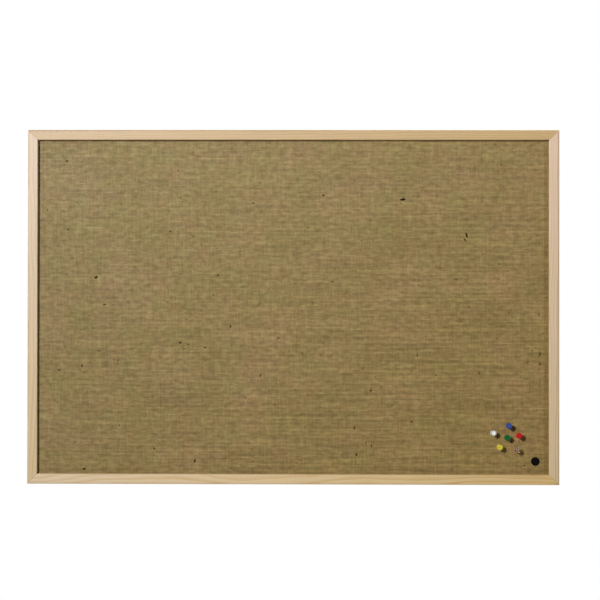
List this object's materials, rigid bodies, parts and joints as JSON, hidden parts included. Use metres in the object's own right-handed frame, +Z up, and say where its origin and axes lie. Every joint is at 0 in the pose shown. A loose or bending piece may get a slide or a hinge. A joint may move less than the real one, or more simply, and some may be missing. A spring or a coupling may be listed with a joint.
{
  "type": "notice board",
  "caption": "Wall notice board: hessian over a softboard core, held in a grooved and mitred pine frame, with coloured push pins and flush keyhole hanger plates.",
  "frame": {"origin": "the middle of the board in the plane of the frame's rear faces, which is the wall plane", "axes": "+X to the right and +Z up as the board hangs in landscape, +Y into the wall; the hessian faces -Y"},
  "size_m": [0.9, 0.0288, 0.6],
  "materials": {
    "pine": "satin",
    "hessian": "matte",
    "softboard": "matte",
    "kraft_paper": "matte",
    "zinc_plated_steel": "satin",
    "bright_steel": "polished",
    "black_plastic": "gloss",
    "white_plastic": "gloss",
    "blue_plastic": "gloss",
    "green_plastic": "gloss",
    "red_plastic": "gloss",
    "yellow_plastic": "gloss",
    "clear_plastic": "gloss"
  },
  "bodies": {
    "board": {"top_rail": "pine", "bottom_rail": "pine", "left_stile": "pine", "right_stile": "pine", "hessian_cover": "hessian", "softboard_core": "softboard", "kraft_backing_paper": "kraft_paper", "badge_disc": "black_plastic", "bottom_left_hanger_plate": "zinc_plated_steel", "bottom_left_mitre_nail": "bright_steel", "bottom_left_screw_1": "bright_steel", "bottom_left_screw_2": "bright_steel", "bottom_left_screw_3": "bright_steel", "bottom_left_screw_4": "bright_steel", "top_left_hanger_plate": "zinc_plated_steel", "top_left_mitre_nail": "bright_steel", "top_left_screw_1": "bright_steel", "top_left_screw_2": "bright_steel", "top_left_screw_3": "bright_steel", "top_left_screw_4": "bright_steel", "top_right_hanger_plate": "zinc_plated_steel", "top_right_mitre_nail": "bright_steel", "top_right_screw_1": "bright_steel", "top_right_screw_2": "bright_steel", "top_right_screw_3": "bright_steel", "top_right_screw_4": "bright_steel", "bottom_right_hanger_plate": "zinc_plated_steel", "bottom_right_mitre_nail": "bright_steel", "bottom_right_screw_1": "bright_steel", "bottom_right_screw_2": "bright_steel", "bottom_right_screw_3": "bright_steel", "bottom_right_screw_4": "bright_steel"},
    "white_pin": {"white_pin_handle": "white_plastic", "white_pin_needle": "bright_steel"},
    "blue_pin": {"blue_pin_handle": "blue_plastic", "blue_pin_needle": "bright_steel"},
    "green_pin": {"green_pin_handle": "green_plastic", "green_pin_needle": "bright_steel"},
    "red_pin": {"red_pin_handle": "red_plastic", "red_pin_needle": "bright_steel"},
    "yellow_pin": {"yellow_pin_handle": "yellow_plastic", "yellow_pin_needle": "bright_steel"},
    "clear_pin": {"clear_pin_handle": "clear_plastic", "clear_pin_needle": "bright_steel"}
  },
  "joints": [
    {"name": "white_pin_pull", "type": "slide", "parent": "board", "child": "white_pin", "axis": [0.0436, -0.9984, 0.0349], "range_m": [0, 0.012]},
    {"name": "blue_pin_pull", "type": "slide", "parent": "board", "child": "blue_pin", "axis": [-0.0262, -0.9983, 0.0523], "range_m": [0, 0.012]},
    {"name": "green_pin_pull", "type": "slide", "parent": "board", "child": "green_pin", "axis": [0.0175, -0.9968, 0.0784], "range_m": [0, 0.012]},
    {"name": "red_pin_pull", "type": "slide", "parent": "board", "child": "red_pin", "axis": [-0.0349, -0.9984, 0.0436], "range_m": [0, 0.012]},
    {"name": "yellow_pin_pull", "type": "slide", "parent": "board", "child": "yellow_pin", "axis": [-0.0436, -0.9987, 0.0262], "range_m": [0, 0.012]},
    {"name": "clear_pin_pull", "type": "slide", "parent": "board", "child": "clear_pin", "axis": [0.0523, -0.9968, 0.061], "range_m": [0, 0.012]}
  ]
}
